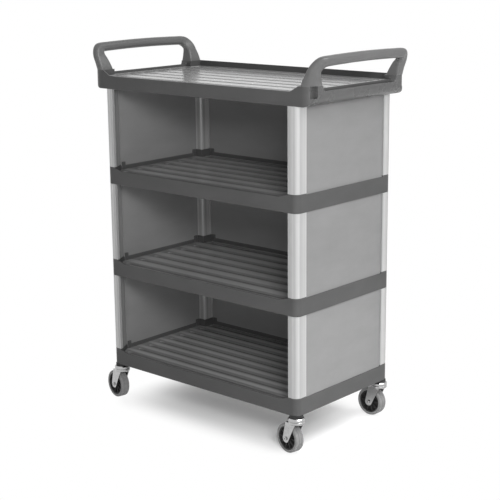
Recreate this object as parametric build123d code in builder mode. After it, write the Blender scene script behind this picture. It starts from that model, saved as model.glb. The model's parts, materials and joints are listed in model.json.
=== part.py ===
from build123d import *
from math import atan2, cos, degrees, hypot, radians, sin
import os

os.makedirs("parts", exist_ok=True)

# Four-tier trolley. Millimetres, origin on the floor under the middle of the trolley.
# X runs along the length, the open front faces -Y, Z is up.

# Tiers
shelf_length = 870.0
shelf_width = 500.0
corner_radius = 22.0
tier_pitch = 335.0
skirt_wall = 4.0
skirt_depth = 35.0
floor_thickness = 7.0
edge_round = 2.0
rim_height = 56.0
rim_inner_wall = 3.0
rim_round = 1.5
lip_height = 48.5
lip_width = 4.5
lip_slope = 30.0
lip_slope_gap = 4.0
well_round = 8.0
seat_height = 61.0

# Grooves in every floor
groove_count = 7
groove_pitch = 70.0
groove_width = 20.0
groove_depth = 3.0
groove_end_gap = 28.0
groove_taper = 55.0
bottom_groove_count = 9
bottom_groove_pitch = 54.4
bottom_groove_width = 18.0

# Stiffening ribs under every floor
rib_wall = 3.0
rib_gap = 2.0
ribs_across = 8
ribs_along = 4

# Posts
post_width = 38.0
post_depth = 54.0
post_step = 8.0
post_wall = 2.5
post_inner_round = 10.0
front_post_flat = 10.0
post_groove_near = 14.5
post_groove_width = 8.0
post_groove_depth = 4.0
slot_web = 2.0
slot_spare = 1.0
spigot_height = 18.0
spigot_clearance = 0.3
collar_wall = 4.0
collar_rise = 8.0
collar_clearance = 0.4
ear_gap = 3.0
ear_length = 14.0
ear_wall = 5.0
axis_offset = 2.0

# Panels
panel_thickness = 4.0
panel_skirt_gap = 0.7
panel_clearance = 0.3
panel_grip = 7.0
panel_groove = 5.0
panel_rise = 12.0

# Tie rods and inserts
rod_diameter = 8.0
rod_clearance = 0.3
rod_fit = 0.05
rod_end_gap = 1.0
insert_wall = 4.0
insert_cap = 4.0
insert_fit = 0.05
rod_engagement = 12.0
stem_engagement = 26.0

# Top tray
tray_overhang = 57.0
tray_corner_radius = 38.0
tray_end_round = 40.0
tray_shell = 5.0
tray_boss_height = 64.0
tray_lip_height = 45.5
tray_back_wall = 5.0
tray_end_wall_height = 53.0
tray_end_ledge_height = 45.5
tray_well_inset = 29.0
tray_end_wall = 7.0
tray_ramp_round = 16.0
tray_lip_slope = 32.0
tray_boss_margin = 3.0
tray_floor_round = 3.0
tray_ledge_round = 3.0
end_groove_width = 8.0
end_groove_depth = 6.0
end_groove_bevel = 1.0
end_groove_gap = 2.0
recess_width = 22.5
recess_depth = 15.5
recess_height = 38.0
recess_edge = 8.5

# Handles
handle_rise = 93.0
handle_crown = 3.5
handle_reach = 26.0
handle_leg_length = 55.0
handle_leg_width = 46.0
handle_leg_taper = 8.0
handle_leg_edge = 5.0
handle_bar_height = 31.5
handle_bar_width = 33.0
handle_bar_round = 14.0
handle_outer_corner = 50.0
handle_inner_corner = 16.0
handle_inboard_flare = 1.35
handle_outboard_flare = 3.0
handle_foot_spare = 10.0
handle_leg_steps = 3
handle_corner_steps = 5
handle_bar_steps = 9
screw_diameter = 6.0
screw_fit = 0.05
screw_clearance = 0.4
screw_head_diameter = 13.0
screw_head_height = 4.0
screw_seat = 23.0
screw_grip = 18.0
screw_socket = 5.0
screw_socket_depth = 2.4

# Casters
wheel_diameter = 100.0
wheel_width = 32.0
wheel_trail = 30.0
wheel_side_gap = 2.0
tyre_thickness = 10.0
tyre_shoulder = 4.0
tread_groove_width = 2.0
tread_groove_depth = 1.2
tread_groove_offset = 5.0
hub_rim = 5.0
hub_rim_inset = 1.5
hub_web = 8.0
hub_boss_diameter = 24.0
hub_spoke_wall = 3.0
hub_spoke_inset = 4.0
hub_spokes = 10
wheel_fit = 0.05
axle_diameter = 8.0
axle_fit = 0.05
axle_leg_clearance = 0.1
axle_head_diameter = 13.0
axle_head_height = 4.5
axle_socket = 5.0
axle_socket_depth = 2.5
axle_end = 0.3
nut_width = 13.0
nut_height = 4.0
leg_thickness = 2.5
leg_end_radius = 14.0
leg_front = 14.0
leg_back = 31.0
crown_gap = 6.0
crown_thickness = 3.0
crown_height = 10.7
crown_diameter = 55.0
crown_wall = 3.0
swivel_gap = 0.3
swivel_fit = 0.05
kingpin_diameter = 12.0
rivet_diameter = 19.0
rivet_height = 3.0
head_height = 11.0
head_diameter = 56.0
head_bevel = 3.0
stem_diameter = 12.0
stem_fit = 0.05
caster_collar_height = 9.0
caster_collar_diameter = 46.0
caster_collar_bevel = 2.0

# Rest angle of each caster about its kingpin, in degrees
caster_yaw = {"front_left": -10.0, "front_right": -9.0, "rear_left": -5.0, "rear_right": 0.0}

# Sizes that follow from the ones above
floor_top = skirt_depth + floor_thickness
panel_inset = skirt_wall + panel_skirt_gap
panel_inner = panel_inset + panel_thickness
slot_near = panel_inset - panel_clearance
slot_far = panel_inner + panel_clearance
slot_depth = panel_grip + slot_spare
rim_width = slot_far + rim_inner_wall
post_side = post_depth - post_step
hollow_far = post_width - slot_depth - slot_web
hollow_side = post_side - slot_depth - slot_web
slant_length = hypot(post_depth - front_post_flat, post_width - rim_width)
slant_u = (post_depth - front_post_flat) / slant_length
slant_v = (post_width - rim_width) / slant_length
axis_inset = post_width / 2 + axis_offset
post_length = tier_pitch - seat_height
rib_bottom = panel_rise + rib_gap
end_hollow_bottom = rib_bottom + rib_wall
panel_half_x = shelf_length / 2 - post_width + panel_grip
panel_half_y = shelf_width / 2 - post_side + panel_grip

wheel_radius = wheel_diameter / 2
crown_bottom = wheel_diameter + crown_gap
crown_top = crown_bottom + crown_height
head_bottom = crown_top + swivel_gap
head_top = head_bottom + head_height
ground_clearance = head_top + caster_collar_height

tier_base = [ground_clearance + tier * tier_pitch for tier in range(4)]
tray_base = tier_base[3]
tray_half = shelf_length / 2 + tray_overhang
tray_top = tray_base + tray_boss_height
leg_x = tray_half - handle_leg_width / 2
leg_y = shelf_width / 2 - handle_leg_length / 2

rod_bottom = ground_clearance + stem_engagement + rod_end_gap
rod_top = tray_base + rod_engagement
insert_radius = rod_diameter / 2 + insert_wall
stem_insert_radius = stem_diameter / 2 + insert_wall
stem_insert_height = stem_engagement + rod_engagement

corners = {"front_left": (-1, -1), "front_right": (1, -1), "rear_left": (-1, 1), "rear_right": (1, 1)}


def from_corner(sx, sy, u, v):
    """Point at the distances u and v inside the end and side faces of a shelf corner."""
    return (sx * (shelf_length / 2 - u), sy * (shelf_width / 2 - v))


def corner_rectangle(sx, sy, u0, u1, v0, v1):
    """Rectangle in the open sketch, measured inward from the faces of a shelf corner."""
    with Locations(from_corner(sx, sy, (u0 + u1) / 2, (v0 + v1) / 2)):
        Rectangle(u1 - u0, v1 - v0)


def corner_polygon(sx, sy, points):
    """Polygon in the open sketch, its points measured inward from the faces of a shelf corner."""
    Polygon(*[from_corner(sx, sy, u, v) for u, v in points], align=None)


def shelf_outline(inset):
    """Keep only what lies inside the rounded outline of a shelf, less an inset all round."""
    RectangleRounded(
        shelf_length - 2 * inset, shelf_width - 2 * inset, corner_radius - inset, mode=Mode.INTERSECT
    )


def slant_depth(u, inset):
    """Distance v at which the slanted face of a front post, moved in by an inset, passes the distance u."""
    return front_post_flat + ((post_width - u) * slant_u - inset) / slant_v


def post_outline(sx, sy):
    """Outline of a post in the open sketch: slanted inside at the front, square at the rear."""
    if sy < 0:
        corner_polygon(
            sx,
            sy,
            (
                (0, 0),
                (post_width, 0),
                (post_width, front_post_flat),
                (rim_width, post_depth),
                (slot_near, post_depth),
                (slot_near, post_side),
                (0, post_side),
            ),
        )
    else:
        corner_rectangle(sx, sy, 0, post_width, 0, post_side)
        corner_rectangle(sx, sy, slot_near, post_width, 0, post_depth)


def post_hollow(sx, sy):
    """Hollow of a post in the open sketch, clear of its panel slots and of the groove of a rear post."""
    web = slot_far + slot_web
    if sy < 0:
        far = post_width - post_wall
        corner_polygon(
            sx,
            sy,
            (
                (post_wall, post_wall),
                (far, post_wall),
                (far, slant_depth(far, post_wall)),
                (web, slant_depth(web, post_wall)),
                (web, hollow_side),
                (post_wall, hollow_side),
            ),
        )
    else:
        far = post_width - post_groove_depth - slot_web
        corner_rectangle(sx, sy, post_wall, hollow_far, post_wall, hollow_side)
        corner_rectangle(sx, sy, web, far, web, post_depth - post_wall)


def spigots():
    """Outline of the four spigots that stand inside the posts, in the open sketch."""
    near = post_wall + spigot_clearance
    far = hollow_far - spigot_clearance
    for sx, sy in corners.values():
        if sy < 0:
            side = slant_depth(far, near)
            end = post_width + ((front_post_flat - far) * slant_v - near) / slant_u
            corner_polygon(sx, sy, ((near, near), (far, near), (far, side), (end, far), (near, far)))
        else:
            corner_rectangle(sx, sy, near, far, near, far)
    shelf_outline(near)


def axis_points(z):
    """Corner axes shared by the tie rods and the casters, at height z."""
    return [(*from_corner(sx, sy, axis_inset, axis_inset), z) for sx, sy in corners.values()]


def leg_points(z):
    """Middle of each handle leg, at height z."""
    return [(sx * leg_x, sy * leg_y, z) for sx, sy in corners.values()]


def panel_slots():
    """Slots for the two end panels and the back panel, in the open sketch."""
    slot_width = slot_far - slot_near
    for side in (-1, 1):
        with Locations((side * (shelf_length - slot_near - slot_far) / 2, 0)):
            Rectangle(slot_width, 2 * (panel_half_y + panel_clearance))
    with Locations((0, (shelf_width - slot_near - slot_far) / 2)):
        Rectangle(2 * (panel_half_x + panel_clearance), slot_width)


def panel_flanges():
    """Flanges just inside the tops of the panels, in the open sketch."""
    for side in (-1, 1):
        with Locations((side * (shelf_length / 2 - slot_far - rib_wall / 2), 0)):
            Rectangle(rib_wall, shelf_width - 2 * post_depth)
    with Locations((0, shelf_width / 2 - slot_far - rib_wall / 2)):
        Rectangle(shelf_length - 2 * post_width, rib_wall)


def stiffening_ribs():
    """Grid of ribs between the skirts, in the open sketch."""
    with GridLocations(shelf_length / (ribs_across + 1), 0, ribs_across, 1):
        Rectangle(rib_wall, shelf_width - 2 * skirt_wall)
    with GridLocations(0, shelf_width / (ribs_along + 1), 1, ribs_along):
        Rectangle(shelf_length - 2 * skirt_wall, rib_wall)


def write(piece, name):
    """Label a finished piece and write its file."""
    piece.label = name
    export_step(piece, f"parts/{name}.step")


def build_shelf(name, base, bay_below):
    well_length = shelf_length - 2 * rim_width
    well_width = shelf_width - rim_width - lip_width
    lip_high = shelf_length / 2 - post_width - lip_slope_gap
    lip_low = lip_high - lip_slope
    near_u = post_width + collar_clearance
    near_v = post_depth + collar_clearance
    far_u = near_u + collar_wall
    far_v = near_v + collar_wall
    ear_u = far_u + ear_gap
    ear_v = far_v + ear_gap
    ear_far = slot_far + ear_wall
    with BuildPart() as shelf:
        # Skirt and rim with a block at each corner for the posts
        with BuildSketch(Plane.XY.offset(base)):
            RectangleRounded(shelf_length, shelf_width, corner_radius)
        extrude(amount=rim_height)
        with BuildSketch(Plane.XY.offset(base + floor_top)):
            with Locations((0, (lip_width - rim_width) / 2)):
                RectangleRounded(well_length, well_width, well_round)
        extrude(amount=rim_height, mode=Mode.SUBTRACT)
        with BuildSketch(Plane.XY.offset(base)):
            RectangleRounded(
                shelf_length - 2 * skirt_wall, shelf_width - 2 * skirt_wall, corner_radius - skirt_wall
            )
        extrude(amount=skirt_depth, mode=Mode.SUBTRACT)
        with BuildSketch(Plane.XY.offset(base)):
            for sx, sy in corners.values():
                corner_rectangle(sx, sy, 0, post_width, 0, post_depth)
            shelf_outline(0)
        extrude(amount=floor_top)
        with BuildSketch(Plane.XY.offset(base + floor_top)):
            for sx, sy in corners.values():
                post_outline(sx, sy)
            shelf_outline(0)
        extrude(amount=seat_height - floor_top)
        fillet(shelf.faces().filter_by(Axis.Z).sort_by(Axis.Z)[0].outer_wire().edges(), edge_round)

        # Front lip, lowered between the posts
        with BuildSketch(Plane.XZ.offset(shelf_width / 2)):
            with BuildLine():
                Polyline(
                    (-lip_low, base + lip_height),
                    (lip_low, base + lip_height),
                    (lip_high, base + rim_height + 1),
                    (-lip_high, base + rim_height + 1),
                    close=True,
                )
            make_face()
        extrude(amount=-lip_width - 1, mode=Mode.SUBTRACT)
        lip_edges = shelf.edges().filter_by_position(Axis.Z, base + lip_height, base + lip_height)
        fillet(lip_edges.filter_by(Axis.X), rim_round)
        for rim_axis, across, end in ((Axis.Y, Axis.X, 0), (Axis.Y, Axis.X, -1), (Axis.X, Axis.Y, -1)):
            rim_edges = shelf.edges().filter_by_position(Axis.Z, base + rim_height, base + rim_height)
            fillet(rim_edges.filter_by(rim_axis).group_by(across)[end], rim_round)

        # Grooves along the floor, closer together on the bottom shelf
        with BuildSketch(Plane.XY.offset(base + floor_top)):
            if bay_below:
                with GridLocations(0, groove_pitch, 1, groove_count):
                    SlotOverall(well_length - 2 * groove_end_gap, groove_width)
            else:
                with GridLocations(0, bottom_groove_pitch, 1, bottom_groove_count):
                    SlotOverall(well_length - 2 * groove_end_gap, bottom_groove_width)
        extrude(amount=-groove_depth, taper=groove_taper, mode=Mode.SUBTRACT)

        # Spigots inside the posts
        with BuildSketch(Plane.XY.offset(base + seat_height)):
            spigots()
        extrude(amount=spigot_height)

        # Collars round the rear posts, and ears that back the panels beside every post
        with BuildSketch(Plane.XY.offset(base + floor_top)):
            for sx, sy in corners.values():
                corner_rectangle(sx, sy, slot_far, ear_far, ear_v, ear_v + ear_length)
                if sy > 0:
                    corner_rectangle(sx, sy, near_u, far_u, rim_width, far_v)
                    corner_rectangle(sx, sy, rim_width, far_u, near_v, far_v)
                    corner_rectangle(sx, sy, ear_u, ear_u + ear_length, slot_far, ear_far)
        extrude(amount=seat_height - floor_top + collar_rise)
        with BuildSketch(Plane.XY.offset(base + floor_top)):
            for sx, sy in corners.values():
                if sy > 0:
                    corner_rectangle(sx, sy, rim_width, far_u, rim_width, far_v)
        extrude(amount=rim_height - floor_top)

        # Grooves that the panels stand in
        with BuildSketch(Plane.XY.offset(base + rim_height - panel_groove)):
            panel_slots()
        extrude(amount=seat_height - rim_height + panel_groove, mode=Mode.SUBTRACT)

        # Stiffening ribs under the floor
        with BuildSketch(Plane.XY.offset(base + skirt_depth)):
            stiffening_ribs()
        extrude(amount=rib_bottom - skirt_depth)

        if bay_below:
            # Lower spigots, and flanges that hold the tops of the panels below
            with BuildSketch(Plane.XY.offset(base)):
                spigots()
            extrude(amount=-spigot_height)
            with BuildSketch(Plane.XY.offset(base + skirt_depth)):
                panel_flanges()
            extrude(amount=edge_round - skirt_depth)
            with BuildSketch(Plane.XY.offset(base)):
                panel_slots()
            extrude(amount=panel_rise + panel_clearance, mode=Mode.SUBTRACT)
        else:
            # Pockets for the caster inserts
            with Locations(*axis_points(base)):
                Cylinder(
                    stem_insert_radius + insert_fit,
                    stem_insert_height,
                    align=(Align.CENTER, Align.CENTER, Align.MIN),
                    mode=Mode.SUBTRACT,
                )

        # Holes for the tie rods
        with Locations(*axis_points(base - spigot_height)):
            Cylinder(
                rod_diameter / 2 + rod_clearance,
                seat_height + 2 * spigot_height,
                align=(Align.CENTER, Align.CENTER, Align.MIN),
                mode=Mode.SUBTRACT,
            )
    write(shelf.part, name)


def build_tray(name, base):
    well_half = tray_half - tray_well_inset
    well_width = shelf_width - lip_width - tray_back_wall
    boss_x = tray_half - handle_leg_width - tray_boss_margin
    boss_y = shelf_width / 2 - handle_leg_length - tray_boss_margin
    wall_outer = well_half + tray_end_wall
    ledge = base + tray_end_ledge_height
    groove_outer = wall_outer + end_groove_width
    groove_half = boss_y - tray_ramp_round - end_groove_gap
    lip_high = boss_x - lip_slope_gap
    lip_low = lip_high - tray_lip_slope
    with BuildPart() as tray:
        # Body, rounded up at both ends
        with BuildSketch(Plane.XY.offset(base)):
            RectangleRounded(2 * tray_half, shelf_width, tray_corner_radius)
        extrude(amount=tray_boss_height)
        with BuildSketch(Plane.XZ.offset(-shelf_width / 2)) as side_view:
            with Locations((0, base + tray_boss_height / 2)):
                Rectangle(2 * tray_half, tray_boss_height)
            fillet(side_view.vertices().group_by(Axis.Y)[0], tray_end_round)
        extrude(amount=shelf_width, mode=Mode.INTERSECT)
        with BuildSketch(Plane.YZ.offset(-tray_half)) as end_view:
            with Locations((0, base + tray_boss_height / 2)):
                Rectangle(shelf_width, tray_boss_height)
            fillet(end_view.vertices().group_by(Axis.Y)[0], edge_round)
        extrude(amount=2 * tray_half, mode=Mode.INTERSECT)

        # Well above the floor, with a boss left at each corner for the handles
        with BuildSketch(Plane.XY.offset(base + floor_top)):
            with Locations((0, (lip_width - tray_back_wall) / 2)):
                RectangleRounded(2 * well_half, well_width, well_round)
            for sx, sy in corners.values():
                with Locations((sx * tray_half, sy * shelf_width / 2)):
                    Rectangle(2 * (tray_half - boss_x), 2 * (shelf_width / 2 - boss_y), mode=Mode.SUBTRACT)
        extrude(amount=tray_boss_height, mode=Mode.SUBTRACT)
        well_floor = tray.faces().filter_by_position(Axis.Z, base + floor_top, base + floor_top)
        fillet(well_floor.edges(), tray_floor_round)

        # End walls, lowered between the bosses with an outer ledge and a groove
        for side in (-1, 1):
            with BuildSketch(Plane.YZ.offset(side * (well_half - 1))) as wall_cut:
                with Locations((0, base + tray_end_wall_height + tray_boss_height / 2)):
                    Rectangle(2 * boss_y, tray_boss_height)
                fillet(wall_cut.vertices().group_by(Axis.Y)[0], tray_ramp_round - tray_end_wall)
            extrude(amount=side * (tray_end_wall + 1), mode=Mode.SUBTRACT)
            with BuildSketch(Plane.YZ.offset(side * wall_outer)) as ledge_cut:
                with Locations((0, ledge + tray_boss_height / 2)):
                    Rectangle(2 * boss_y, tray_boss_height)
                fillet(ledge_cut.vertices().group_by(Axis.Y)[0], tray_ramp_round)
            extrude(amount=side * tray_well_inset, mode=Mode.SUBTRACT)
            with BuildSketch(Plane.XZ.offset(-groove_half)):
                with BuildLine():
                    Polyline(
                        (side * wall_outer, ledge + 1),
                        (side * wall_outer, ledge - end_groove_depth),
                        (side * groove_outer, ledge - end_groove_depth),
                        (side * groove_outer, ledge - end_groove_bevel),
                        (side * (groove_outer + end_groove_bevel), ledge),
                        (side * (groove_outer + end_groove_bevel), ledge + 1),
                        close=True,
                    )
                make_face()
            extrude(amount=2 * groove_half, mode=Mode.SUBTRACT)
        for end in (0, -1):
            ledge_edges = tray.edges().filter_by(Axis.Y).filter_by_position(Axis.Z, ledge, ledge)
            fillet(ledge_edges.group_by(Axis.X)[end], tray_ledge_round)

        # Front lip, lowered between the bosses
        with BuildSketch(Plane.XZ.offset(shelf_width / 2)):
            with BuildLine():
                Polyline(
                    (-lip_low, base + tray_lip_height),
                    (lip_low, base + tray_lip_height),
                    (lip_high, base + tray_boss_height),
                    (lip_high, base + tray_boss_height + 1),
                    (-lip_high, base + tray_boss_height + 1),
                    (-lip_high, base + tray_boss_height),
                    close=True,
                )
            make_face()
        extrude(amount=-lip_width - 1, mode=Mode.SUBTRACT)
        lip_edges = tray.edges().filter_by_position(Axis.Z, base + tray_lip_height, base + tray_lip_height)
        fillet(lip_edges.filter_by(Axis.X).group_by(Axis.Y)[0], rim_round)
        rim_edges = tray.edges().filter_by_position(Axis.Z, tray_top, tray_top).filter_by(Axis.X)
        fillet(rim_edges.group_by(Axis.Y)[-1], rim_round)

        # Finger recess in the end face under each handle leg
        with BuildSketch(Plane.XY.offset(base + tray_boss_height - recess_height)):
            for sx, sy in corners.values():
                recess_y = shelf_width / 2 - recess_edge - recess_width / 2
                with Locations((sx * (tray_half - recess_depth / 2), sy * recess_y)):
                    Rectangle(recess_depth, recess_width)
        extrude(amount=recess_height, mode=Mode.SUBTRACT)

        # Grooves along the floor
        with BuildSketch(Plane.XY.offset(base + floor_top)):
            with GridLocations(0, groove_pitch, 1, groove_count):
                SlotOverall(2 * (well_half - groove_end_gap), groove_width)
        extrude(amount=-groove_depth, taper=groove_taper, mode=Mode.SUBTRACT)

        # Hollow underside, carried out into both ends above the panel tops
        with BuildSketch(Plane.XY.offset(base)):
            RectangleRounded(
                shelf_length - 2 * skirt_wall, shelf_width - 2 * skirt_wall, corner_radius - skirt_wall
            )
        extrude(amount=skirt_depth, mode=Mode.SUBTRACT)
        with BuildSketch(Plane.XZ.offset(-(boss_y - tray_shell))) as end_hollow:
            with Locations((0, base + tray_shell + tray_boss_height / 2)):
                Rectangle(2 * (tray_half - tray_shell), tray_boss_height)
            fillet(end_hollow.vertices().group_by(Axis.Y)[0], tray_end_round - tray_shell)
            with Locations((0, base + (end_hollow_bottom + skirt_depth) / 2)):
                Rectangle(2 * tray_half, skirt_depth - end_hollow_bottom, mode=Mode.INTERSECT)
        extrude(amount=2 * (boss_y - tray_shell), mode=Mode.SUBTRACT)
        with BuildSketch(Plane.XY.offset(base)):
            for sx, sy in corners.values():
                corner_rectangle(sx, sy, 0, post_width, 0, post_depth)
            shelf_outline(0)
        extrude(amount=skirt_depth)

        # Stiffening ribs, and flanges that hold the tops of the panels below
        with BuildSketch(Plane.XY.offset(base + skirt_depth)):
            stiffening_ribs()
        extrude(amount=rib_bottom - skirt_depth)
        with BuildSketch(Plane.XY.offset(base + skirt_depth)):
            panel_flanges()
        extrude(amount=edge_round - skirt_depth)

        # Spigots inside the posts, panel slots and tie rod inserts
        with BuildSketch(Plane.XY.offset(base)):
            spigots()
        extrude(amount=-spigot_height)
        with BuildSketch(Plane.XY.offset(base)):
            panel_slots()
        extrude(amount=panel_rise + panel_clearance, mode=Mode.SUBTRACT)
        with Locations(*axis_points(base - spigot_height)):
            Cylinder(
                rod_diameter / 2 + rod_clearance,
                2 * spigot_height,
                align=(Align.CENTER, Align.CENTER, Align.MIN),
                mode=Mode.SUBTRACT,
            )
        with Locations(*axis_points(base)):
            Cylinder(
                insert_radius + insert_fit,
                rod_engagement + insert_cap,
                align=(Align.CENTER, Align.CENTER, Align.MIN),
                mode=Mode.SUBTRACT,
            )

        # Counterbored holes for the handle screws
        with Locations(*leg_points(base)):
            Cylinder(
                screw_head_diameter / 2 + screw_clearance,
                screw_seat,
                align=(Align.CENTER, Align.CENTER, Align.MIN),
                mode=Mode.SUBTRACT,
            )
            Cylinder(
                screw_diameter / 2 + screw_clearance,
                tray_boss_height,
                align=(Align.CENTER, Align.CENTER, Align.MIN),
                mode=Mode.SUBTRACT,
            )
    write(tray.part, name)


def handle_edges():
    """Outer and inner edge of the hoop as pairs of (y, height) points, from a foot to the middle."""
    top = handle_rise - handle_crown
    leg_top = top - handle_outer_corner
    gap_top = top - handle_bar_height
    gap_corner = gap_top - handle_inner_corner
    outer_y = shelf_width / 2
    foot_y = outer_y - handle_leg_length
    gap_y = foot_y + handle_leg_taper
    edges = [((outer_y, -handle_foot_spare), (foot_y, -handle_foot_spare))]
    for step in range(handle_leg_steps):
        share = step / handle_leg_steps
        edges.append(((outer_y, leg_top * share), (foot_y + handle_leg_taper * share, gap_corner * share)))
    for step in range(handle_corner_steps):
        turn = radians(90 * step / handle_corner_steps)
        back = 1 - cos(turn)
        up = sin(turn)
        outer = (outer_y - handle_outer_corner * back, leg_top + handle_outer_corner * up)
        inner = (gap_y - handle_inner_corner * back, gap_corner + handle_inner_corner * up)
        edges.append((outer, inner))
    for step in range(handle_bar_steps + 1):
        share = 1 - step / handle_bar_steps
        crown = handle_crown * (1 - share**2)
        outer = ((outer_y - handle_outer_corner) * share, top + crown)
        inner = ((gap_y - handle_inner_corner) * share, gap_top + crown)
        edges.append((outer, inner))
    return edges


def handle_station(outer, inner, side):
    """Plane, widths and corner radii of the hoop between two edge points, at the front (-1) or rear (1)."""
    height = (outer[1] + inner[1]) / 2
    rise = min(max(height / (handle_rise - handle_crown - handle_bar_height / 2), 0), 1)
    leg_inboard = tray_half - handle_leg_width
    bar_inboard = tray_half + handle_reach - handle_bar_width
    inboard = leg_inboard + (bar_inboard - leg_inboard) * rise**handle_inboard_flare
    outboard = tray_half + handle_reach * rise**handle_outboard_flare
    tilt = degrees(atan2(outer[1] - inner[1], outer[0] - inner[0]))
    lean = tilt if side < 0 else 180 - tilt
    plane = Plane(
        origin=((inboard + outboard) / 2, side * (outer[0] + inner[0]) / 2, tray_top + height),
        x_dir=(1, 0, 0),
        z_dir=(0, sin(radians(lean)), cos(radians(lean))),
    )
    depth = hypot(outer[0] - inner[0], outer[1] - inner[1])
    big = handle_bar_round + (tray_corner_radius - handle_bar_round) * (1 - rise) ** 2
    small = handle_leg_edge + (handle_bar_round - handle_leg_edge) * rise
    return plane, outboard - inboard, depth, big, small


def build_handles():
    edges = handle_edges()
    stations = [(*pair, -1) for pair in edges] + [(*pair, 1) for pair in reversed(edges[:-1])]
    with BuildPart() as right_handle:
        # Hoop through its stations, cut off flat at the feet
        for outer, inner, side in stations:
            plane, width, depth, big, small = handle_station(outer, inner, side)
            with BuildSketch(plane) as section:
                Rectangle(width, depth)
                fillet(section.vertices().sort_by(lambda v: v.X - v.Y)[-1], big)
                fillet(section.vertices().sort_by(lambda v: v.X + v.Y)[-1], small)
                fillet(section.vertices().group_by(Axis.X)[0], small)
        loft()
        split(bisect_by=Plane.XY.offset(tray_top), keep=Keep.TOP)

        # Screw holes
        with Locations((leg_x, -leg_y, tray_top), (leg_x, leg_y, tray_top)):
            Cylinder(
                screw_diameter / 2 + screw_fit,
                screw_grip + rod_end_gap,
                align=(Align.CENTER, Align.CENTER, Align.MIN),
                mode=Mode.SUBTRACT,
            )
    write(right_handle.part, "handle_right")

    with BuildPart() as left_handle:
        mirror(right_handle.part, about=Plane.YZ)
    write(left_handle.part, "handle_left")

    with BuildPart() as screws:
        with Locations(*leg_points(tray_base + screw_seat - screw_head_height)):
            Cylinder(
                screw_head_diameter / 2, screw_head_height, align=(Align.CENTER, Align.CENTER, Align.MIN)
            )
            Cylinder(
                screw_diameter / 2,
                screw_head_height + tray_boss_height - screw_seat + screw_grip,
                align=(Align.CENTER, Align.CENTER, Align.MIN),
            )
        with BuildSketch(Plane.XY.offset(tray_base + screw_seat - screw_head_height)):
            with Locations(*[(sx * leg_x, sy * leg_y) for sx, sy in corners.values()]):
                RegularPolygon(screw_socket / 2, 6, major_radius=False)
        extrude(amount=screw_socket_depth, mode=Mode.SUBTRACT)
    write(screws.part, "handle_screws")


def build_post(name, sx, sy, base):
    slot_bottom = post_side - slot_depth
    with BuildPart() as post:
        with BuildSketch(Plane.XY.offset(base)) as profile:
            post_outline(sx, sy)
            shelf_outline(0)
            if sy > 0:
                fillet(profile.vertices().sort_by_distance((0, 0, 0))[0], post_inner_round)
        extrude(amount=post_length)
        with BuildSketch(Plane.XY.offset(base)):
            post_hollow(sx, sy)
            shelf_outline(post_wall)
        extrude(amount=post_length, mode=Mode.SUBTRACT)
        with BuildSketch(Plane.XY.offset(base)):
            corner_rectangle(sx, sy, slot_near, slot_far, slot_bottom, post_depth)
            if sy > 0:
                corner_rectangle(sx, sy, post_width - slot_depth, post_width, slot_near, slot_far)
                corner_rectangle(
                    sx,
                    sy,
                    post_width - post_groove_depth,
                    post_width,
                    post_groove_near,
                    post_groove_near + post_groove_width,
                )
        extrude(amount=post_length, mode=Mode.SUBTRACT)
    write(post.part, name)


def build_panels(bay, base):
    panel_bottom = base + rim_height - panel_groove
    panel_height = tier_pitch + panel_rise - rim_height + panel_groove
    panel_middle = (panel_inset + panel_inner) / 2
    for side, sx in (("left", -1), ("right", 1)):
        with BuildPart() as end_panel:
            with BuildSketch(Plane.XY.offset(panel_bottom)):
                with Locations((sx * (shelf_length / 2 - panel_middle), 0)):
                    Rectangle(panel_thickness, 2 * panel_half_y)
            extrude(amount=panel_height)
        write(end_panel.part, f"panel_{bay}_{side}")
    with BuildPart() as back_panel:
        with BuildSketch(Plane.XY.offset(panel_bottom)):
            with Locations((0, shelf_width / 2 - panel_middle)):
                Rectangle(2 * panel_half_x, panel_thickness)
        extrude(amount=panel_height)
    write(back_panel.part, f"panel_{bay}_back")


def build_rods():
    with BuildPart() as rods:
        with Locations(*axis_points(rod_bottom)):
            Cylinder(rod_diameter / 2, rod_top - rod_bottom, align=(Align.CENTER, Align.CENTER, Align.MIN))
    write(rods.part, "tie_rods")

    with BuildPart() as top_inserts:
        with Locations(*axis_points(tray_base)):
            Cylinder(
                insert_radius, rod_engagement + insert_cap, align=(Align.CENTER, Align.CENTER, Align.MIN)
            )
            Cylinder(
                rod_diameter / 2 + rod_fit,
                rod_engagement + rod_end_gap,
                align=(Align.CENTER, Align.CENTER, Align.MIN),
                mode=Mode.SUBTRACT,
            )
    write(top_inserts.part, "rod_inserts")

    with BuildPart() as stem_inserts:
        with Locations(*axis_points(ground_clearance)):
            Cylinder(stem_insert_radius, stem_insert_height, align=(Align.CENTER, Align.CENTER, Align.MIN))
            Cylinder(
                rod_diameter / 2 + rod_fit,
                stem_insert_height,
                align=(Align.CENTER, Align.CENTER, Align.MIN),
                mode=Mode.SUBTRACT,
            )
            Cylinder(
                stem_diameter / 2 + stem_fit,
                stem_engagement,
                align=(Align.CENTER, Align.CENTER, Align.MIN),
                mode=Mode.SUBTRACT,
            )
    write(stem_inserts.part, "stem_inserts")


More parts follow.
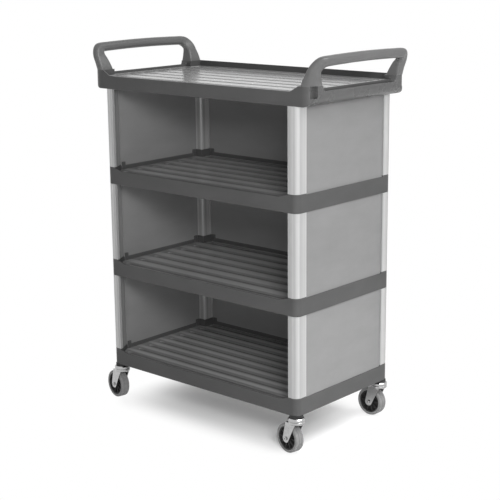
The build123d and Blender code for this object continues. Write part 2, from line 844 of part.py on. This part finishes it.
def build_caster(corner, sx, sy):
    yaw = radians(caster_yaw[corner])
    x, y = from_corner(sx, sy, axis_inset, axis_inset)
    forward = Vector(cos(yaw), sin(yaw), 0)
    across = Vector(-sin(yaw), cos(yaw), 0)
    axle = Vector(x, y, wheel_radius) - forward * wheel_trail
    top_view = Plane(origin=(x, y, 0), x_dir=forward, z_dir=(0, 0, 1))
    side_view = Plane(origin=(x, y, 0), x_dir=forward, z_dir=-across)
    wheel_view = Plane(origin=axle, x_dir=forward, z_dir=across)
    wheel_section = Plane(origin=axle, x_dir=across, z_dir=forward)
    kingpin_axis = Axis((x, y, 0), (0, 0, 1))
    axle_axis = Axis(axle, across)
    fork_inner = wheel_width / 2 + wheel_side_gap
    fork_outer = fork_inner + leg_thickness

    # Swivel head with its stem above and riveted kingpin below
    with BuildPart() as stem:
        with BuildSketch(side_view):
            with BuildLine():
                Polyline(
                    (0, ground_clearance + stem_engagement),
                    (stem_diameter / 2, ground_clearance + stem_engagement),
                    (stem_diameter / 2, head_top),
                    (head_diameter / 2 - head_bevel, head_top),
                    (head_diameter / 2, head_top - head_bevel),
                    (head_diameter / 2, head_bottom + 1),
                    (head_diameter / 2 - 1, head_bottom),
                    (kingpin_diameter / 2, head_bottom),
                    (kingpin_diameter / 2, crown_bottom - swivel_gap),
                    (rivet_diameter / 2, crown_bottom - swivel_gap),
                    (rivet_diameter / 2, crown_bottom - swivel_gap - rivet_height + 1),
                    (rivet_diameter / 2 - 1, crown_bottom - swivel_gap - rivet_height),
                    (0, crown_bottom - swivel_gap - rivet_height),
                    close=True,
                )
            make_face()
        revolve(axis=kingpin_axis)
    write(stem.part, f"caster_{corner}_stem")

    # Collar between the head and the shelf
    with BuildPart() as collar:
        with BuildSketch(top_view.offset(head_top)):
            Circle(caster_collar_diameter / 2)
            Circle(stem_diameter / 2 + stem_fit, mode=Mode.SUBTRACT)
        extrude(amount=caster_collar_height)
        chamfer(collar.faces().sort_by(Axis.Z)[0].outer_wire().edges(), caster_collar_bevel)
    write(collar.part, f"caster_{corner}_collar")

    # Fork: dished crown with two legs
    with BuildPart() as fork:
        with BuildSketch(side_view):
            with BuildLine():
                Polyline(
                    (kingpin_diameter / 2 + swivel_fit, crown_bottom),
                    (crown_diameter / 2 - crown_wall, crown_bottom),
                    (crown_diameter / 2, crown_bottom + crown_wall),
                    (crown_diameter / 2, crown_top - 1),
                    (crown_diameter / 2 - 1, crown_top),
                    (crown_diameter / 2 - crown_wall, crown_top),
                    (crown_diameter / 2 - crown_wall - 1, crown_bottom + crown_thickness + 1),
                    (crown_diameter / 2 - crown_wall - 2, crown_bottom + crown_thickness),
                    (kingpin_diameter / 2 + swivel_fit, crown_bottom + crown_thickness),
                    close=True,
                )
            make_face()
        revolve(axis=kingpin_axis)
        with BuildSketch(top_view.offset(crown_bottom)):
            with Locations(((leg_front - leg_back) / 2, 0)):
                Rectangle(leg_front + leg_back, 2 * fork_outer)
            Circle(kingpin_diameter / 2 + swivel_fit, mode=Mode.SUBTRACT)
        extrude(amount=crown_thickness)
        for leg_plane in (side_view.offset(fork_inner), side_view.offset(-fork_outer)):
            with BuildSketch(leg_plane):
                with Locations((-wheel_trail, wheel_radius)):
                    Circle(leg_end_radius)
                with Locations(((leg_front - leg_back) / 2, crown_bottom + crown_thickness / 2)):
                    Rectangle(leg_front + leg_back, crown_thickness)
                make_hull()
                with Locations((-wheel_trail, wheel_radius)):
                    Circle(axle_diameter / 2 + axle_leg_clearance, mode=Mode.SUBTRACT)
            extrude(amount=leg_thickness)
    write(fork.part, f"caster_{corner}_fork")

    # Axle bolt with a round socket head, and its nut
    with BuildPart() as bolt:
        with BuildSketch(wheel_view.offset(-fork_outer - axle_head_height)):
            Circle(axle_head_diameter / 2)
        extrude(amount=axle_head_height)
        chamfer(bolt.edges().group_by(Axis(axle, across))[0], 1)
        with BuildSketch(wheel_view.offset(-fork_outer - axle_head_height)):
            RegularPolygon(axle_socket / 2, 6, major_radius=False)
        extrude(amount=axle_socket_depth, mode=Mode.SUBTRACT)
        with BuildSketch(wheel_view.offset(-fork_outer)):
            Circle(axle_diameter / 2)
        extrude(amount=2 * fork_outer + nut_height + axle_end)
    write(bolt.part, f"caster_{corner}_axle")

    with BuildPart() as nut:
        with BuildSketch(wheel_view.offset(fork_outer)):
            RegularPolygon(nut_width / 2, 6, major_radius=False)
            Circle(axle_diameter / 2 + axle_fit, mode=Mode.SUBTRACT)
        extrude(amount=nut_height)
    write(nut.part, f"caster_{corner}_nut")

    # Wheel centre: bored boss, web, rim and spokes
    hub_radius = wheel_radius - tyre_thickness
    rim_inner = hub_radius - hub_rim
    boss_radius = hub_boss_diameter / 2
    half = wheel_width / 2
    with BuildPart() as hub:
        with BuildSketch(wheel_section):
            with BuildLine():
                Polyline(
                    (-half, axle_diameter / 2 + axle_fit),
                    (-half, boss_radius - 1),
                    (-half + 1, boss_radius),
                    (-hub_web / 2, boss_radius + 1),
                    (-hub_web / 2, rim_inner - 1),
                    (-half + hub_rim_inset, rim_inner + 1),
                    (-half + hub_rim_inset, hub_radius),
                    (half - hub_rim_inset, hub_radius),
                    (half - hub_rim_inset, rim_inner + 1),
                    (hub_web / 2, rim_inner - 1),
                    (hub_web / 2, boss_radius + 1),
                    (half - 1, boss_radius),
                    (half, boss_radius - 1),
                    (half, axle_diameter / 2 + axle_fit),
                    close=True,
                )
            make_face()
        revolve(axis=axle_axis)
        with BuildSketch(wheel_view.offset(-half + hub_spoke_inset)):
            with PolarLocations((boss_radius + rim_inner) / 2, hub_spokes):
                Rectangle(rim_inner - boss_radius + 3, hub_spoke_wall)
        extrude(amount=2 * (half - hub_spoke_inset))
    write(hub.part, f"caster_{corner}_hub")

    # Tyre with two tread grooves
    tyre_inner = hub_radius + wheel_fit
    with BuildPart() as tyre:
        with BuildSketch(wheel_section) as tread:
            with Locations((0, (tyre_inner + wheel_radius) / 2)):
                Rectangle(wheel_width, wheel_radius - tyre_inner)
            fillet(tread.vertices().group_by(Axis.Y)[-1], tyre_shoulder)
            with Locations(
                (-tread_groove_offset, wheel_radius - tread_groove_depth / 2),
                (tread_groove_offset, wheel_radius - tread_groove_depth / 2),
            ):
                Rectangle(tread_groove_width, tread_groove_depth, mode=Mode.SUBTRACT)
        revolve(axis=axle_axis)
    write(tyre.part, f"caster_{corner}_tyre")


# Tiers, from the floor up
build_shelf("shelf_bottom", tier_base[0], False)
build_shelf("shelf_middle", tier_base[1], True)
build_shelf("shelf_upper", tier_base[2], True)
build_tray("tray_top", tray_base)
build_handles()

# Posts and panels of the three bays
for bay, bay_base in zip(("lower", "middle", "upper"), tier_base):
    for corner, (sx, sy) in corners.items():
        build_post(f"post_{bay}_{corner}", sx, sy, bay_base + seat_height)
    build_panels(bay, bay_base)

build_rods()

for corner, (sx, sy) in corners.items():
    build_caster(corner, sx, sy)
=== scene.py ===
import json
import math

import bpy
from mathutils import Matrix, Vector

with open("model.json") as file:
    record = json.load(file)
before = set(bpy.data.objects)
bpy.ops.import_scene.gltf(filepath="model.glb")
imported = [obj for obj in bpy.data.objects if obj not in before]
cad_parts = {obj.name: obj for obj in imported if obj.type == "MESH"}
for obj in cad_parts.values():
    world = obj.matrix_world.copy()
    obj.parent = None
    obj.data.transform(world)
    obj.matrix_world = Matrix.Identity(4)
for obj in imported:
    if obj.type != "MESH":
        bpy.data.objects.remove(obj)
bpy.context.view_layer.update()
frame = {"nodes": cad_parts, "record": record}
nodes = frame["nodes"]
scene = bpy.context.scene


# Tiers of the trolley and the grooves in their floors, in metres
TIER_FOOT = 0.137
TIER_PITCH = 0.335
FLOOR_TOP = 0.042
GROOVE_DEPTH = 0.003
GROOVE_PITCH = 0.070
BOTTOM_GROOVE_PITCH = 0.0544

# Ranges over which a mask changes from one side to the other, in metres
BELOW_GROOVES = (FLOOR_TOP - GROOVE_DEPTH - 0.002, FLOOR_TOP - GROOVE_DEPTH - 0.001)
ABOVE_BANDS = (FLOOR_TOP + 0.0008, FLOOR_TOP + 0.0016)
ABOVE_BOTTOM_SHELF = (0.25, 0.30)
BELOW_TOP_TRAY = (1.10, 1.15)
GROOVE_TO_BAND = (0.007, 0.023)
FLOOR_TO_MARGIN = (0.37, 0.41)
FLOOR_TO_TRAY_END = (0.45, 0.48)

# Share of the painted band sheen that the margins of a floor get, past the ends of its grooves
MARGIN_SHEEN_SHARE = 0.6

# Cosines of the turn at an edge, from none to the full edge mask, and upward parts of a normal that looks
# up
EDGE_TURN = (0.995, 0.86)
UPWARD_TURN = (0.3, 0.9)
BEVEL_SAMPLES = 6

# Range that holds most values of a noise, and the range of a mask
NOISE_SPAN = (0.3, 0.7)
MASK = (0.0, 1.0)
INVERSE_MASK = (1.0, 0.0)

WHITE = (1, 1, 1, 1)


def grey(level):
    """Linear colour of a grey given as a screen level from 0 to 255."""
    s = level / 255
    v = s / 12.92 if s <= 0.04045 else ((s + 0.055) / 1.055) ** 2.4
    return (v, v, v, 1.0)


class Nodes:
    """The node tree of a material or a world, emptied first, with short calls for its nodes."""

    def __init__(self, owner):
        owner.use_nodes = True
        self.tree = owner.node_tree
        self.tree.nodes.clear()

    def node(self, kind, **values):
        n = self.tree.nodes.new(kind)
        for key, value in values.items():
            setattr(n, key, value)
        return n

    def link(self, a, b):
        self.tree.links.new(a, b)

    def fill(self, socket, value):
        """Link a socket to another one, or set it to a plain value."""
        if isinstance(value, bpy.types.NodeSocket):
            self.link(value, socket)
        else:
            socket.default_value = value

    def math(self, operation, a, b=None):
        n = self.node("ShaderNodeMath", operation=operation)
        self.fill(n.inputs[0], a)
        if b is not None:
            self.fill(n.inputs[1], b)
        return n.outputs["Value"]

    def add(self, a, b):
        return self.math("ADD", a, b)

    def times(self, a, b):
        return self.math("MULTIPLY", a, b)

    def ramp(self, value, source, target, interpolation="LINEAR"):
        """Carry a value over from one range to another and hold it at the ends."""
        n = self.node("ShaderNodeMapRange", interpolation_type=interpolation)
        n.inputs["From Min"].default_value, n.inputs["From Max"].default_value = source
        n.inputs["To Min"].default_value, n.inputs["To Max"].default_value = target
        self.link(value, n.inputs["Value"])
        return n.outputs["Result"]

    def glow(self, kind, strength):
        """White emission or background of a strength."""
        n = self.node(kind)
        n.inputs["Color"].default_value = WHITE
        self.fill(n.inputs["Strength"], strength)
        return n.outputs[0]

    def blend(self, factor, a, b):
        n = self.node("ShaderNodeMixShader")
        self.link(factor, n.inputs["Fac"])
        self.link(a, n.inputs[1])
        self.link(b, n.inputs[2])
        return n.outputs["Shader"]

    def seen_rays(self):
        """1 for rays that show a surface directly, in a reflection or through glass, 0 for others."""
        path = self.node("ShaderNodeLightPath")
        seen = self.math("MAXIMUM", path.outputs["Is Camera Ray"], path.outputs["Is Glossy Ray"])
        return self.math("MAXIMUM", seen, path.outputs["Is Transmission Ray"])


class Finish(Nodes):
    """A Principled material whose detail is built from nodes on the object's own coordinates."""

    def __init__(self, name):
        self.mat = bpy.data.materials.new(name)
        super().__init__(self.mat)
        out = self.node("ShaderNodeOutputMaterial")
        self.shader = self.node("ShaderNodeBsdfPrincipled")
        self.link(self.shader.outputs["BSDF"], out.inputs["Surface"])
        self.coords = self.node("ShaderNodeTexCoord").outputs["Object"]
        self.normal = self.node("ShaderNodeNewGeometry").outputs["Normal"]

    def set(self, **values):
        """Fill the shader's inputs, named with underscores for spaces."""
        for key, value in values.items():
            self.fill(self.shader.inputs[key.replace("_", " ")], value)

    def split(self, vector):
        n = self.node("ShaderNodeSeparateXYZ")
        self.link(vector, n.inputs["Vector"])
        return n.outputs["X"], n.outputs["Y"], n.outputs["Z"]

    def noise(self, scale, detail=2.0, roughness=0.5, stretch=(1, 1, 1)):
        mapping = self.node("ShaderNodeMapping")
        mapping.inputs["Scale"].default_value = stretch
        self.link(self.coords, mapping.inputs["Vector"])
        n = self.node("ShaderNodeTexNoise")
        n.inputs["Scale"].default_value = scale
        n.inputs["Detail"].default_value = detail
        n.inputs["Roughness"].default_value = roughness
        self.link(mapping.outputs["Vector"], n.inputs["Vector"])
        return n.outputs["Fac"]

    def mix(self, factor, a, b):
        n = self.node("ShaderNodeMix", data_type="RGBA")
        self.link(factor, n.inputs["Factor"])
        self.fill(n.inputs["A"], a)
        self.fill(n.inputs["B"], b)
        return n.outputs["Result"]

    def bump(self, height, distance, strength):
        n = self.node("ShaderNodeBump")
        self.fill(n.inputs["Strength"], strength)
        n.inputs["Distance"].default_value = distance
        self.link(height, n.inputs["Height"])
        self.set(Normal=n.outputs["Normal"])

    def edge_mask(self, radius, breakup):
        """Mask of the convex and concave edges within a radius, broken up by a noise."""
        round_over = self.node("ShaderNodeBevel", samples=BEVEL_SAMPLES)
        round_over.inputs["Radius"].default_value = radius
        dot = self.node("ShaderNodeVectorMath", operation="DOT_PRODUCT")
        self.link(round_over.outputs["Normal"], dot.inputs[0])
        self.link(self.normal, dot.inputs[1])
        edge = self.ramp(dot.outputs["Value"], EDGE_TURN, MASK)
        return self.times(edge, self.ramp(breakup, (0.3, 0.62), (0.35, 1.0)))

    def facing_up(self):
        """Mask of the surfaces that face upward or slope gently."""
        return self.ramp(self.split(self.normal)[2], UPWARD_TURN, MASK)

    def floors(self, z):
        """Mask of the tier floors, from the bottoms of the grooves to the bands between them."""
        height = self.math("FLOORED_MODULO", self.math("SUBTRACT", z, TIER_FOOT), TIER_PITCH)
        above = self.ramp(height, BELOW_GROOVES, MASK)
        return self.times(above, self.ramp(height, ABOVE_BANDS, INVERSE_MASK))

    def band_sheen_mask(self, x, y, z):
        """Mask of a floor's painted sheen: 1 along each band and 0 in the grooves, with the margins at
        part of it.
        """
        pitch = self.ramp(z, ABOVE_BOTTOM_SHELF, (BOTTOM_GROOVE_PITCH, GROOVE_PITCH))
        half = self.times(pitch, 0.5)
        along = self.math("FLOORED_MODULO", self.add(y, half), pitch)
        from_groove = self.math("ABSOLUTE", self.math("SUBTRACT", along, half))
        band = self.ramp(from_groove, GROOVE_TO_BAND, MASK)
        margin = self.ramp(self.math("ABSOLUTE", x), FLOOR_TO_MARGIN, (0.0, MARGIN_SHEEN_SHARE))
        return self.math("MAXIMUM", band, margin)


# Materials

GRAIN_DEPTH = 0.00012
GRAIN_STRENGTH = 0.5
# Paler tone of a moulding's edges, in levels: rubbing wear and a painted highlight
EDGE_WEAR_AND_HIGHLIGHT_TONE = 22

# Tones of a tray's floors, in levels above its own: a painted reflection sheen on the bands and painted
# shade in the grooves
CHANNEL_SHADE_TONE = 30
BAND_SHEEN_TONE = 102
DECK_CHANNEL_SHADE_TONE = 64
DECK_BAND_SHEEN_TONE = 82

# Roughness of a tray's upward faces, as a share of the usual one and a part added, and its handled ends
UPPER_ROUGH_SHARE = 0.3
UPPER_ROUGH_EXTRA = 0.07
HANDLED_GLOSS = 0.8
HANDLED_SMOOTHING = -0.1
POLISHED_SHEEN = 0.5
POLISHED_GRAIN_STRENGTH = 0.006


def plastic_tone(m, level):
    """Grey with faint flow marks and fine pale specks."""
    flow = m.noise(7.0, detail=3.0, roughness=0.55, stretch=(1, 1, 2.5))
    speck = m.noise(900.0, roughness=0.6)
    tone = m.mix(m.ramp(flow, NOISE_SPAN, MASK), grey(level - 3), grey(level + 3))
    return m.mix(m.ramp(speck, (0.35, 0.65), (0.0, 0.35)), tone, grey(level + 7))


def plastic_roughness(m, rough):
    """Roughness that wanders a little to either side of its value."""
    return m.ramp(m.noise(24.0, detail=3.0), NOISE_SPAN, (rough - 0.05, rough + 0.06))


def plastic_wear_and_edge_highlight(m):
    """Mask of the edges of a moulding, paled for rubbing wear and for a painted highlight along them."""
    return m.edge_mask(0.0022, m.noise(35.0, detail=3.0))


def moulding_grain(m):
    """Height of the fine texture that the mould leaves."""
    return m.noise(1500.0, roughness=0.6)


def moulded(name, level, rough, sheen, grain=GRAIN_DEPTH, edge=EDGE_WEAR_AND_HIGHLIGHT_TONE):
    """Moulded plastic: fine grain, faint flow marks and pale edges, partly rubbing wear and partly a
    painted highlight.
    """
    m = Finish(name)
    # Pale edges: rubbing wear and a painted highlight along them
    m.set(
        Base_Color=m.mix(plastic_wear_and_edge_highlight(m), plastic_tone(m, level), grey(level + edge)),
        Roughness=plastic_roughness(m, rough),
        Specular_IOR_Level=sheen,
    )
    m.bump(moulding_grain(m), grain, GRAIN_STRENGTH)
    return m.mat


def floor_sheen_and_shade_color(m, level, x, y, z, on_deck):
    """Floor colour of a tray: painted shade along the grooves, a pale painted reflection sheen on the
    bands, paler on the top tray.
    """
    scratches = m.noise(11.0, detail=4.0, roughness=0.6, stretch=(0.5, 1, 1))
    scuff = m.ramp(scratches, (0.3, 0.65), (0.97, 1.0))
    # Groove and band tones: painted shade and a painted reflection sheen, paler on the top tray
    channel = m.mix(on_deck, grey(level + CHANNEL_SHADE_TONE), grey(level + DECK_CHANNEL_SHADE_TONE))
    band = m.mix(on_deck, grey(level + BAND_SHEEN_TONE), grey(level + DECK_BAND_SHEEN_TONE))
    return m.mix(m.times(m.band_sheen_mask(x, y, z), scuff), channel, band)


def tray_moulding(name, level, rough, sheen):
    """Moulded plastic whose floors are rubbed smooth and carry a painted reflection sheen with painted
    shade in their grooves, and whose tray ends are polished by hands.
    """
    m = Finish(name)
    x, y, z = m.split(m.coords)
    up = m.facing_up()
    not_up = m.ramp(up, MASK, INVERSE_MASK)
    on_deck = m.ramp(z, BELOW_TOP_TRAY, MASK)
    handled = m.times(m.ramp(m.math("ABSOLUTE", x), FLOOR_TO_TRAY_END, (0.0, HANDLED_GLOSS)), on_deck)
    gloss = m.math("MAXIMUM", up, handled)

    # Floors: a painted reflection sheen on the bands and painted shade in the grooves
    floor = m.times(up, m.floors(z))
    tone = m.mix(floor, plastic_tone(m, level), floor_sheen_and_shade_color(m, level, x, y, z, on_deck))
    smoothed = m.times(plastic_roughness(m, rough), m.ramp(up, MASK, (1.0, UPPER_ROUGH_SHARE)))
    matt = m.add(smoothed, m.times(up, UPPER_ROUGH_EXTRA))
    # Pale edges off the floors: rubbing wear and a painted highlight along them
    m.set(
        Base_Color=m.mix(m.times(plastic_wear_and_edge_highlight(m), not_up), tone, grey(level + EDGE_WEAR_AND_HIGHLIGHT_TONE)),
        Roughness=m.add(matt, m.times(handled, HANDLED_SMOOTHING)),
        Specular_IOR_Level=m.ramp(gloss, MASK, (sheen, POLISHED_SHEEN)),
    )
    grain_left = m.ramp(gloss, (0.0, HANDLED_GLOSS), (GRAIN_STRENGTH, POLISHED_GRAIN_STRENGTH))
    m.bump(moulding_grain(m), GRAIN_DEPTH, grain_left)
    return m.mat


def aluminium(name, level):
    """Satin anodised extrusion: broad and fine die lines along its length, rubbed edges."""
    m = Finish(name)
    fine = m.noise(420.0, detail=3.0, roughness=0.6, stretch=(1, 1, 0.004))
    broad = m.noise(95.0, detail=1.0, stretch=(1, 1, 0.002))
    cloud = m.noise(9.0, stretch=(1, 1, 0.4))
    tone = m.mix(m.ramp(fine, NOISE_SPAN, MASK), grey(level - 6), grey(level + 5))
    tone = m.mix(m.ramp(broad, (0.4, 0.62), (0.0, 0.8)), tone, grey(level - 26))
    m.set(
        Metallic=0.45,
        Anisotropic=0.3,
        Base_Color=m.mix(m.edge_mask(0.0012, cloud), tone, grey(level + 14)),
        Roughness=m.add(m.ramp(fine, NOISE_SPAN, (0.36, 0.46)), m.ramp(cloud, NOISE_SPAN, (0.0, 0.06))),
    )
    m.bump(fine, 0.00006, 0.35)
    return m.mat


def plated(name, level, rough):
    """Bright plated steel with faint smears and pressing marks."""
    m = Finish(name)
    smear = m.noise(60.0, detail=4.0, roughness=0.6)
    m.set(
        Metallic=1.0,
        Base_Color=m.mix(m.ramp(smear, (0.35, 0.75), MASK), grey(level), grey(level - 16)),
        Roughness=m.ramp(smear, NOISE_SPAN, (rough - 0.04, rough + 0.07)),
    )
    m.bump(m.noise(300.0), 0.00006, 0.25)
    return m.mat


def rubber(name, level, rough):
    """Grey tyre compound: fine matt speckle and a little dust."""
    m = Finish(name)
    dust = m.noise(45.0, detail=4.0, roughness=0.65)
    speck = m.noise(1400.0, roughness=0.6)
    tone = m.mix(m.ramp(dust, (0.35, 0.7), MASK), grey(level - 8), grey(level + 7))
    m.set(
        Base_Color=m.mix(m.ramp(speck, (0.4, 0.6), (0.0, 0.4)), tone, grey(level - 16)),
        Roughness=m.ramp(dust, NOISE_SPAN, (rough - 0.06, rough + 0.08)),
    )
    m.bump(speck, 0.00012, 0.5)
    return m.mat


FINISH = {
    "tray_plastic": tray_moulding("tray_plastic", level=70, rough=0.36, sheen=0.15),
    "handle_plastic": moulded("handle_plastic", level=82, rough=0.34, sheen=0.4, edge=12),
    "panel_plastic": moulded("panel_plastic", level=116, rough=0.5, sheen=0.2, grain=0.00006, edge=16),
    "post_aluminium": aluminium("post_aluminium", level=180),
    "caster_chrome": plated("caster_chrome", level=186, rough=0.18),
    "hardware_steel": plated("hardware_steel", level=190, rough=0.3),
    "caster_black": moulded("caster_black", level=34, rough=0.5, sheen=0.3, edge=10),
    "tyre_rubber": rubber("tyre_rubber", level=116, rough=0.6),
}

for part in frame["record"]["subparts"]:
    obj = nodes[part["node"]]
    obj.data.materials.clear()
    obj.data.materials.append(FINISH[part["material_slot"]])


# Floor and world

FLOOR_SPAN = 60.0
FLOOR_DROP = 0.0005
FLOOR_ALBEDO = 0.82
FLOOR_GLOW = 0.14

# Half sizes of the stretch of floor that shows its shadow, and the distance over which it turns white
SHADOW_HALF = (0.31, 0.15, 0)
SHADOW_FADE = (0.0, 0.17)

WORLD_STRENGTH = 0.16


def beyond_shadow(shading):
    """Mask that is 0 on the floor under the trolley and 1 away from it."""
    place = shading.node("ShaderNodeTexCoord").outputs["Object"]
    for operation, value in (("ABSOLUTE", (0, 0, 0)), ("SUBTRACT", SHADOW_HALF), ("MAXIMUM", (0, 0, 0))):
        step = shading.node("ShaderNodeVectorMath", operation=operation)
        shading.link(place, step.inputs[0])
        step.inputs[1].default_value = value
        place = step.outputs["Vector"]
    reach = shading.node("ShaderNodeVectorMath", operation="LENGTH")
    shading.link(place, reach.inputs[0])
    return shading.ramp(reach.outputs["Value"], SHADOW_FADE, MASK, interpolation="SMOOTHSTEP")


def stage_floor():
    """Pale floor that keeps a soft shadow near the trolley and runs out to white."""
    bpy.ops.mesh.primitive_plane_add(size=FLOOR_SPAN, location=(0, 0, -FLOOR_DROP))
    floor = bpy.context.object
    floor.name = "floor"
    mat = bpy.data.materials.new("floor")
    shading = Nodes(mat)
    seen = shading.seen_rays()
    diffuse = shading.node("ShaderNodeBsdfDiffuse")
    diffuse.inputs["Color"].default_value = (FLOOR_ALBEDO, FLOOR_ALBEDO, FLOOR_ALBEDO, 1.0)
    near = shading.node("ShaderNodeAddShader")
    shading.link(diffuse.outputs["BSDF"], near.inputs[0])
    shading.link(shading.glow("ShaderNodeEmission", shading.times(seen, FLOOR_GLOW)), near.inputs[1])
    far = shading.glow("ShaderNodeEmission", 1.0)
    surface = shading.blend(shading.times(beyond_shadow(shading), seen), near.outputs["Shader"], far)
    shading.link(surface, shading.node("ShaderNodeOutputMaterial").inputs["Surface"])
    floor.data.materials.append(mat)


def world_light():
    """World that is seen as white and lights the scene softly."""
    scene.world = bpy.data.worlds.new("studio")
    shading = Nodes(scene.world)
    lit = shading.glow("ShaderNodeBackground", WORLD_STRENGTH)
    seen = shading.glow("ShaderNodeBackground", 1.0)
    surface = shading.blend(shading.seen_rays(), lit, seen)
    shading.link(surface, shading.node("ShaderNodeOutputWorld").inputs["Surface"])


# Lamps: those that no reflection shows have mirrored set to False

MIDDLE = (0, 0, 0.65)
LAMP_DISTANCE = 4.0

# Lamp beside the right end that lights the floor there
BOUNCE_PLACE = (1.25, -0.05, 0.9)
BOUNCE_TARGET = (1.249, -0.05, 0.0)


def around(azimuth, height):
    """Place at two angles from the middle of the trolley, turned from the open front to the right end."""
    turn, lift = math.radians(azimuth), math.radians(height)
    level = LAMP_DISTANCE * math.cos(lift)
    return (level * math.sin(turn), -level * math.cos(turn), MIDDLE[2] + LAMP_DISTANCE * math.sin(lift))


def area_light(name, place, target, size, power, spread=180, mirrored=True):
    data = bpy.data.lights.new(name, "AREA")
    data.spread = math.radians(spread)
    data.shape = "RECTANGLE"
    data.size, data.size_y = size
    data.energy = power
    obj = bpy.data.objects.new(name, data)
    scene.collection.objects.link(obj)
    obj.visible_glossy = mirrored
    obj.location = place
    obj.rotation_euler = (Vector(target) - Vector(place)).to_track_quat("-Z", "Y").to_euler()


stage_floor()
world_light()
area_light("front", around(44, 4), MIDDLE, size=(2.6, 1.0), power=58.0, mirrored=False)
area_light("key", around(50, 22), MIDDLE, size=(1.6, 0.7), power=106.0, mirrored=False)
area_light("high", around(112, 52), MIDDLE, size=(2.4, 2.0), power=82.0)
area_light("side", around(100, 14), MIDDLE, size=(1.6, 1.2), power=15.0)
area_light("fill", around(226, 20), MIDDLE, size=(2.4, 1.6), power=115.0, mirrored=False)
area_light("bounce", BOUNCE_PLACE, BOUNCE_TARGET, size=(0.6, 1.2), power=7.5, spread=90)


# Camera, fitted to the edges of the photograph without any shift

CAMERA_PLACE = (2.8589, -3.2012, 1.6108)
CAMERA_AZIMUTH = 41.61
CAMERA_PITCH = 13.48
CAMERA_ROLL = -0.54
FOCAL_PIXELS = 1255.0
PHOTO_PIXELS = 500
SENSOR_WIDTH = 36.0


def photo_camera():
    azimuth, pitch, roll = (math.radians(angle) for angle in (CAMERA_AZIMUTH, CAMERA_PITCH, CAMERA_ROLL))
    level_ahead = Vector((-math.sin(azimuth), math.cos(azimuth), 0))
    ahead = level_ahead * math.cos(pitch) - Vector((0, 0, math.sin(pitch)))
    level = Vector((math.cos(azimuth), math.sin(azimuth), 0))
    upright = level.cross(ahead)
    right = level * math.cos(roll) + upright * math.sin(roll)
    up = upright * math.cos(roll) - level * math.sin(roll)
    data = bpy.data.cameras.new("photo")
    data.sensor_width = SENSOR_WIDTH
    data.lens = SENSOR_WIDTH * FOCAL_PIXELS / PHOTO_PIXELS
    data.clip_start, data.clip_end = 0.1, 100.0
    cam = bpy.data.objects.new("photo", data)
    scene.collection.objects.link(cam)
    turned = Matrix((right, up, -ahead)).transposed().to_4x4()
    cam.matrix_world = Matrix.Translation(CAMERA_PLACE) @ turned
    scene.camera = cam


photo_camera()
scene.view_settings.view_transform = "Standard"
